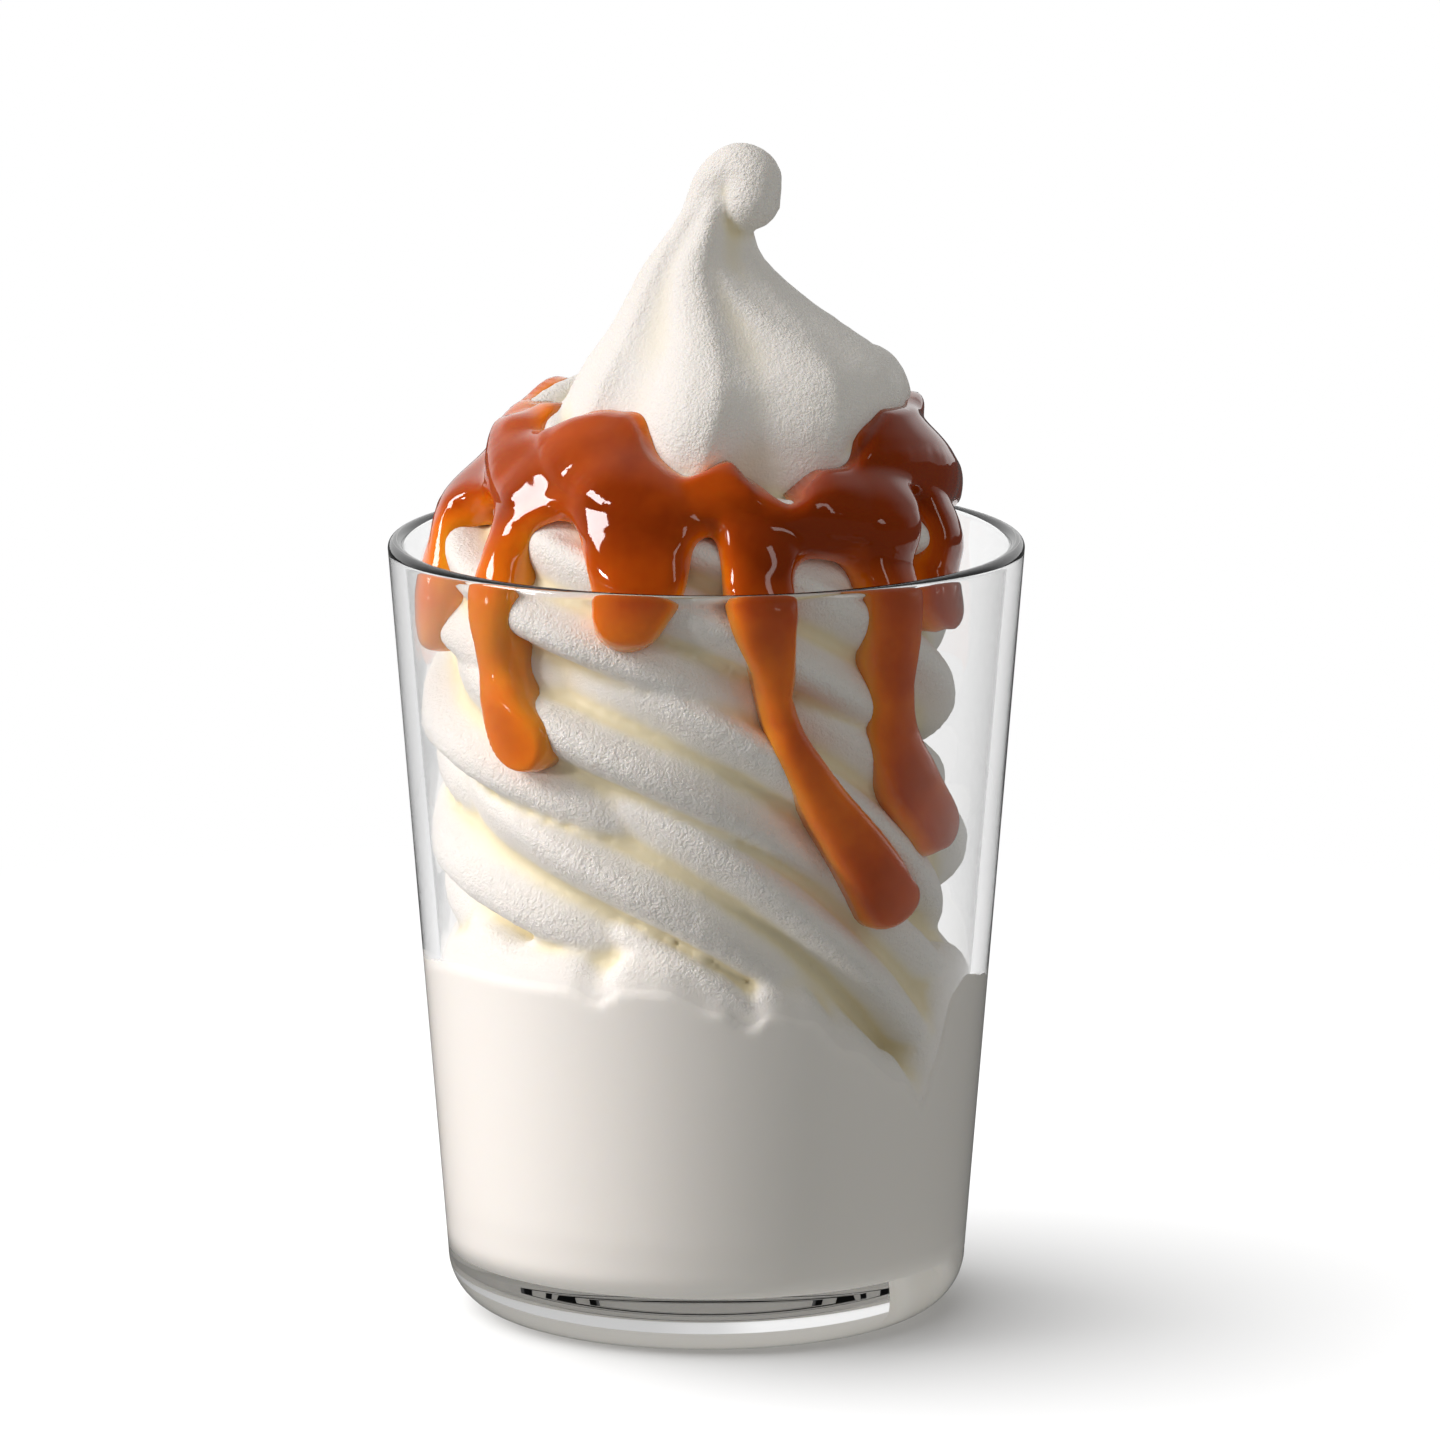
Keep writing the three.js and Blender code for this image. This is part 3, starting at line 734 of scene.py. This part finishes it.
def clear_of_wall(points):
    """Points moved in where they would come too near the glass."""
    radius = np.hypot(points[:, 0], points[:, 1])
    z = points[:, 2]
    limit = np.where(z < GLASS_HEIGHT + 1, inner_radius(z) - STANDS_OFF, FREE)
    points[:, :2] *= np.minimum(1, limit / radius)[:, None]
    return points


def colour_depth(bearing, z, height):
    """How deep the sauce's colour is: its height, more where it pools, and painted shade that darkens it on
    the side away from the key lamp.
    """
    painted_shade = smooth_step(bearing, *PAINTED_SHADE_FROM) * (1 - smooth_step(bearing, *PAINTED_SHADE_TO))
    pooled = (POOLED + PAINTED_SHADE_POOL * painted_shade) * smooth_step(z, *POOLED_HEIGHTS)
    return height + pooled + PAINTED_SHADE * painted_shade


def sauce(cream):
    """A skin of sauce, laid on the soft serve, whose edge, streams and thickness follow the fields."""
    bearing = np.linspace(-180, 180, SAUCE_BEARINGS, endpoint=False)
    z = np.arange(SAUCE_LOW, SAUCE_HIGH, SAUCE_STEP)
    bare = surface_radii(cream, np.radians(bearing), z)
    lean = np.broadcast_to(lean_at(z), bare.shape)
    inside, thick = sauce_fields(bearing[:, None], z[None, :], table_at(SAUCE_REACHES, z)[0][None, :])
    base = laid_base(bare, inside, bearing, z)
    kept = kept_cells(inside)
    i, k, at_i, at_k, edge = outline_places(kept, inside)

    def read(values):
        return read_grid(values[..., None], at_i, at_k)[:, 0]

    height = np.where(edge, 0, thick[i, k])
    centre = read_grid(base, at_i, at_k)
    top = centre + read_grid(outward(base), at_i, at_k) * height[:, None]
    under = sunk_under(centre, read(bare), read(lean))
    number = np.full(inside.shape, -1)
    number[i, k] = np.arange(len(i))
    faces = sauce_faces(kept, number, len(i))
    piece = mesh_object("caramel", [(np.concatenate([top, under]), faces)])
    mesh = piece.data
    set_corners(mesh, clear_of_wall(corners(mesh)))
    # The colour's depth: thickness and pooling, and painted shade on the side away from the key lamp.
    deep = colour_depth(bearing[i], top[:, 2], height)
    write_attribute(mesh, "deep", np.concatenate([deep, deep]))
    shade_smooth(mesh)
    return piece


# ---- Glass ---------------------------------------------------------------------------------------


def arc(x, z, radius, start, stop, steps):
    angle = np.radians(np.linspace(start, stop, steps + 1))
    return np.stack([x + radius * np.cos(angle), z + radius * np.sin(angle)], axis=1)


def straight(start, stop):
    """Points along a straight stretch, some close to its ends, so that its shading stays straight."""
    shares = np.array([0.004, 0.02, 0.5, 0.98, 0.996])[:, None]
    start = np.asarray(start)
    return start + (np.asarray(stop) - start) * shares


def tumbler():
    lip = GLASS_WALL / 2
    low = GLASS_BASE + INNER_CORNER
    foot = arc(GLASS_FOOT - FOOT_CORNER, FOOT_CORNER, FOOT_CORNER, -90, 0, 16)
    rim = arc(outer_radius(GLASS_HEIGHT - lip) - lip, GLASS_HEIGHT - lip, lip, 0, 180, 16)
    hollow = arc(inner_radius(GLASS_BASE) - INNER_CORNER, low, INNER_CORNER, 0, -90, 10)
    profile = np.concatenate([
        straight((0.5, 0), foot[0]), foot, straight(foot[-1], rim[0]), rim,
        straight(rim[-1], hollow[0]), hollow, straight(hollow[-1], (0.5, GLASS_BASE)),
    ])
    turn = np.linspace(0, 2 * math.pi, GLASS_SIDES, endpoint=False)
    rings = [polar(r, turn, z) for r, z in profile]
    rings = [polar(0.5, turn, 0), *rings, polar(0.5, turn, GLASS_BASE)]
    piece = mesh_object("tumbler", [shell(rings)])
    shade_smooth(piece.data)
    return piece


# ---- Materials -----------------------------------------------------------------------------------


def calculated(tree, operation, first, second, clamp=False):
    """A calculation from two values or sockets."""
    node = tree.nodes.new("ShaderNodeMath")
    node.operation = operation
    node.use_clamp = clamp
    for socket, value in zip(node.inputs, (first, second)):
        if isinstance(value, (int, float)):
            socket.default_value = value
        else:
            tree.links.new(value, socket)
    return node.outputs[0]


def combined(tree, operation, first, second):
    """A calculation from two values or sockets, kept between 0 and 1."""
    return calculated(tree, operation, first, second, clamp=True)


def set_stops(ramp, stops):
    """Gives a colour ramp its stops: place and colour."""
    while len(ramp.elements) < len(stops):
        ramp.elements.new(0.5)
    for element, (place, colour) in zip(ramp.elements, stops):
        element.position = place
        element.color = (*colour, 1)


def grey(tone):
    return (tone, tone, tone)


def greys(stops):
    return [(place, grey(tone)) for place, tone in stops]


def mixed(tree, share, first, second):
    """The first shader where the share is 0, the second where it is 1."""
    mix = tree.nodes.new("ShaderNodeMixShader")
    tree.links.new(share, mix.inputs["Fac"])
    tree.links.new(first, mix.inputs[1])
    tree.links.new(second, mix.inputs[2])
    return mix.outputs["Shader"]


class Nodes:
    """Short calls for building one material's nodes."""

    def __init__(self, name):
        self.material = bpy.data.materials.new(name)
        self.material.use_nodes = True
        self.tree = self.material.node_tree
        self.shader = self.tree.nodes["Principled BSDF"]
        self.output = self.tree.nodes["Material Output"]

    def add(self, kind, **values):
        node = self.tree.nodes.new(kind)
        for key, value in values.items():
            setattr(node, key, value)
        return node

    def link(self, source, target):
        self.tree.links.new(source, target)

    def noise(self, scale, detail=2.0, vector=None):
        node = self.add("ShaderNodeTexNoise")
        node.inputs["Scale"].default_value = scale
        node.inputs["Detail"].default_value = detail
        self.link(vector or self.place(), node.inputs["Vector"])
        return node.outputs["Fac"]

    def place(self):
        return self.add("ShaderNodeTexCoord").outputs["Object"]

    def attribute(self, name):
        return self.add("ShaderNodeAttribute", attribute_name=name).outputs["Fac"]

    def math(self, operation, first, second):
        return calculated(self.tree, operation, first, second)

    def ramp(self, source, stops):
        node = self.add("ShaderNodeValToRGB")
        set_stops(node.color_ramp, stops)
        self.link(source, node.inputs["Fac"])
        return node.outputs["Color"]

    def bump(self, height, strength, distance):
        node = self.add("ShaderNodeBump")
        node.inputs["Strength"].default_value = strength
        node.inputs["Distance"].default_value = distance
        self.link(height, node.inputs["Height"])
        return node.outputs["Normal"]

    def pass_light(self, share, *kinds):
        """Lets a share of the light on rays of these kinds straight through to what is behind."""
        shown = self.shader.outputs["BSDF"]
        clear = self.add("ShaderNodeBsdfTransparent")
        clear.inputs["Color"].default_value = (*grey(share), 1)
        path = self.add("ShaderNodeLightPath")
        for kind in kinds:
            shown = mixed(self.tree, path.outputs[kind], shown, clear.outputs["BSDF"])
        self.link(shown, self.output.inputs["Surface"])

    def set(self, **values):
        for key, value in values.items():
            self.shader.inputs[key.replace("_", " ")].default_value = value


def vanilla_material():
    n = Nodes("vanilla_soft_serve")
    n.set(Roughness=0.55, Specular_IOR_Level=0.35)
    n.set(Subsurface_Weight=0.12, Subsurface_Scale=0.002, Subsurface_Radius=(1, 0.8, 0.55))
    # Painted shade: darker, yellower colour down in the valleys between the flutes.
    n.link(n.ramp(n.attribute("valley"), CREAM), n.shader.inputs["Base Color"])
    grain = n.math("ADD", n.noise(1300, 3), n.noise(3000, 2))
    frost = n.math("MULTIPLY", grain, n.attribute("frost"))
    n.link(n.bump(frost, 0.8, 0.0003), n.shader.inputs["Normal"])
    return n.material


def caramel_material():
    n = Nodes("caramel")
    n.set(Roughness=0.05, IOR=1.45, Coat_Weight=0.2, Coat_Roughness=0.02)
    n.set(Subsurface_Weight=0.5, Subsurface_Scale=0.003, Subsurface_Radius=(1, 0.3, 0.05))
    cloud = n.math("MULTIPLY", n.math("SUBTRACT", n.noise(110, 3), 0.5), 0.5)
    # Darker with the sauce's thickness and pooling, and with painted shade on the side away from the key
    # lamp.
    deep = n.math("ADD", n.math("MULTIPLY", n.attribute("deep"), 0.2), cloud)
    n.link(n.ramp(deep, AMBER), n.shader.inputs["Base Color"])
    return n.material


def glass_material():
    n = Nodes("clear_glass")
    n.set(Base_Color=(1, 1, 1, 1), Roughness=0.0, Transmission_Weight=1.0, IOR=1.5)
    n.link(n.bump(n.noise(25, 1), 0.03, 0.001), n.shader.inputs["Normal"])
    n.pass_light(GLASS_PASSES, "Is Shadow Ray", "Is Diffuse Ray")
    return n.material


# ---- Studio --------------------------------------------------------------------------------------


def aimed(obj, place, target):
    obj.location = place
    obj.rotation_euler = (Vector(target) - Vector(place)).to_track_quat("-Z", "Y").to_euler()
    bpy.context.scene.collection.objects.link(obj)


def camera():
    """A long lens, as the photograph was taken with, a little above the table."""
    data = bpy.data.cameras.new("camera")
    data.lens = 325
    data.sensor_width = 36
    data.clip_start = 0.1
    aim = Vector((0.0018, 0, 0.0786))
    rise = math.radians(11.2)
    distance = 1.715
    place = aim + Vector((0, -distance * math.cos(rise), distance * math.sin(rise)))
    obj = bpy.data.objects.new("camera", data)
    aimed(obj, place, aim)
    bpy.context.scene.camera = obj


def lit_together(name, pieces):
    """A group of pieces that the same lamps light."""
    group = bpy.data.collections.new(name)
    for piece in pieces:
        group.objects.link(piece)
    return group


def placed_lamp(data, bearing, rise, distance, aim, lit):
    """A lamp at a bearing and a rise in degrees from a point on the axis, for one group of pieces."""
    flat = distance * math.cos(math.radians(rise))
    high = distance * math.sin(math.radians(rise))
    turn = math.radians(bearing)
    middle = Vector((0, 0, aim))
    place = middle + Vector((flat * math.cos(turn), flat * math.sin(turn), high))
    lamp = bpy.data.objects.new(data.name, data)
    aimed(lamp, place, middle)
    lamp.light_linking.receiver_collection = lit


def softbox(name, bearing, rise, distance, size, power, lit, colour=(1, 1, 1), aim=0.09):
    data = bpy.data.lights.new(name, "AREA")
    data.shape = "RECTANGLE"
    data.size, data.size_y = size
    data.energy = power
    data.color = colour
    placed_lamp(data, bearing, rise, distance, aim, lit)


def spot(name, bearing, rise, distance, angle, power, lit, colour, aim):
    """A round pool of light with a soft edge."""
    data = bpy.data.lights.new(name, "SPOT")
    data.spot_size = math.radians(angle)
    data.spot_blend = 1
    data.shadow_soft_size = 0.06
    data.energy = power
    data.color = colour
    placed_lamp(data, bearing, rise, distance, aim, lit)


def mirrored_share(tree, path, in_front):
    """1 for light that comes back from the sundae's front, also when it leaves through the glass."""
    through = combined(tree, "GREATER_THAN", path.outputs["Transmission Depth"], 2.5)
    kept = combined(tree, "ADD", through, in_front)
    later = combined(tree, "MULTIPLY", path.outputs["Glossy Depth"], kept)
    return combined(tree, "ADD", later, path.outputs["Is Reflection Ray"])


def turned_share(tree, path):
    """1 for light that stays inside the glass's wall or foot until it leaves."""
    inside = combined(tree, "LESS_THAN", path.outputs["Transmission Depth"], 2.5)
    return combined(tree, "ADD", inside, path.outputs["Glossy Depth"])


def direction(tree, axis):
    place = tree.nodes.new("ShaderNodeTexCoord")
    split = tree.nodes.new("ShaderNodeSeparateXYZ")
    tree.links.new(place.outputs["Generated"], split.inputs["Vector"])
    return split.outputs[axis]


def by_direction(tree, axis, stops):
    """A background whose tone runs with one axis of the direction: place from 0 to 1, and tone."""
    share = tree.nodes.new("ShaderNodeMapRange")
    share.inputs["From Min"].default_value = -1
    tree.links.new(direction(tree, axis), share.inputs["Value"])
    ramp = tree.nodes.new("ShaderNodeValToRGB")
    ramp.color_ramp.interpolation = "EASE"
    set_stops(ramp.color_ramp, greys(stops))
    tree.links.new(share.outputs["Result"], ramp.inputs["Fac"])
    seen = tree.nodes.new("ShaderNodeBackground")
    tree.links.new(ramp.outputs["Color"], seen.inputs["Color"])
    return seen.outputs["Background"]


def plain(tree, strength):
    seen = tree.nodes.new("ShaderNodeBackground")
    seen.inputs["Color"].default_value = (1, 1, 1, 1)
    seen.inputs["Strength"].default_value = strength
    return seen.outputs["Background"]


def surroundings():
    """White to the camera, dim to what scatters light, a studio's greys to what mirrors and bends it."""
    world = bpy.data.worlds.new("studio")
    bpy.context.scene.world = world
    world.use_nodes = True
    world.cycles.sampling_method = "NONE"
    tree = world.node_tree
    path = tree.nodes.new("ShaderNodeLightPath")
    ahead = combined(tree, "SUBTRACT", BACKDROP_FROM, direction(tree, "Y"))
    in_front = combined(tree, "MULTIPLY", ahead, BACKDROP_SPEED)
    kinds = (
        (turned_share(tree, path), by_direction(tree, "X", IN_GLASS)),
        (mirrored_share(tree, path, in_front), by_direction(tree, "Y", BACKDROP)),
        (path.outputs["Is Diffuse Ray"], plain(tree, FILL_LIGHT)),
        (path.outputs["Is Camera Ray"], plain(tree, 1.0)),
    )
    shown = plain(tree, 1.0)
    for kind, seen in kinds:
        shown = mixed(tree, kind, shown, seen)
    tree.links.new(shown, tree.nodes["World Output"].inputs["Surface"])


def floor_disc():
    """A round floor, a hair below the foot so that the two don't coincide."""
    sides = 96
    points = polar(4000, np.linspace(0, 2 * math.pi, sides, endpoint=False), -0.1)
    mesh = bpy.data.meshes.new("floor")
    mesh.from_pydata((points * MM).tolist(), [], [list(range(sides))])
    piece = bpy.data.objects.new("floor", mesh)
    bpy.context.scene.collection.objects.link(piece)
    return piece


def floor_material():
    """Pale under the sundae, white further off, and a studio's greys to what mirrors and bends it."""
    n = Nodes("floor")
    n.set(Roughness=0.9, Specular_IOR_Level=0.1)
    n.link(n.ramp(n.noise(3, 2), greys(FLOOR_TONES)), n.shader.inputs["Base Color"])
    away = n.add("ShaderNodeVectorMath", operation="LENGTH")
    n.link(n.place(), away.inputs[0])
    distance = away.outputs["Value"]
    split = n.add("ShaderNodeSeparateXYZ")
    n.link(n.place(), split.inputs["Vector"])
    path = n.add("ShaderNodeLightPath")
    near = n.ramp(distance, greys(FLOOR_IN_GLASS))
    bent = combined(n.tree, "ADD", path.outputs["Transmission Depth"], path.outputs["Glossy Depth"])
    ahead = combined(n.tree, "SUBTRACT", FLOOR_FRONT, split.outputs["Y"])
    in_front = combined(n.tree, "MULTIPLY", ahead, FLOOR_FRONT_SPEED)
    kinds = (
        (n.ramp(distance, greys(FLOOR_FADES)), 1.0),
        (combined(n.tree, "MULTIPLY", bent, near), FLOOR_IN_GLASS_TONE),
        (mirrored_share(n.tree, path, in_front), FLOOR_MIRRORED_TONE),
        (path.outputs["Is Diffuse Ray"], n.ramp(distance, greys(FLOOR_GLOW))),
    )
    shown = n.shader.outputs["BSDF"]
    for kind, tone in kinds:
        light = n.add("ShaderNodeEmission")
        if isinstance(tone, float):
            light.inputs["Strength"].default_value = tone
        else:
            n.link(tone, light.inputs["Color"])
        shown = mixed(n.tree, kind, shown, light.outputs["Emission"])
    n.link(shown, n.output.inputs["Surface"])
    return n.material


# ---- The scene -----------------------------------------------------------------------------------


def dress(piece, material, node):
    piece.data.materials.clear()
    piece.data.materials.append(material)
    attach(piece, "root")
    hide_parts(node)
    return piece


camera()
surroundings()
floor = floor_disc()
floor.data.materials.append(floor_material())
glass = dress(tumbler(), glass_material(), "glass_tumbler")
cream = dress(soft_serve(), vanilla_material(), "soft_serve")
topping = dress(sauce(cream), caramel_material(), "caramel_sauce")
sundae = lit_together("sundae", [glass, cream, topping])
ground = lit_together("ground", [floor])
# Each lamp: bearing, rise, distance, size or angle, power, and what it lights.
softbox("key", -171, 35, 1.2, (0.45, 0.45), 11.5, sundae, KEY_WHITE)
spot("low_key", -156, 12, 0.9, 13, 15, sundae, KEY_WHITE, aim=0.025)
softbox("strip", -38, 28, 1.1, (0.16, 0.6), 0.8, sundae, STRIP_WHITE)
softbox("overhead", 170, 74, 1.0, (0.8, 0.8), 17, ground)
bpy.context.scene.view_settings.view_transform = "Standard"
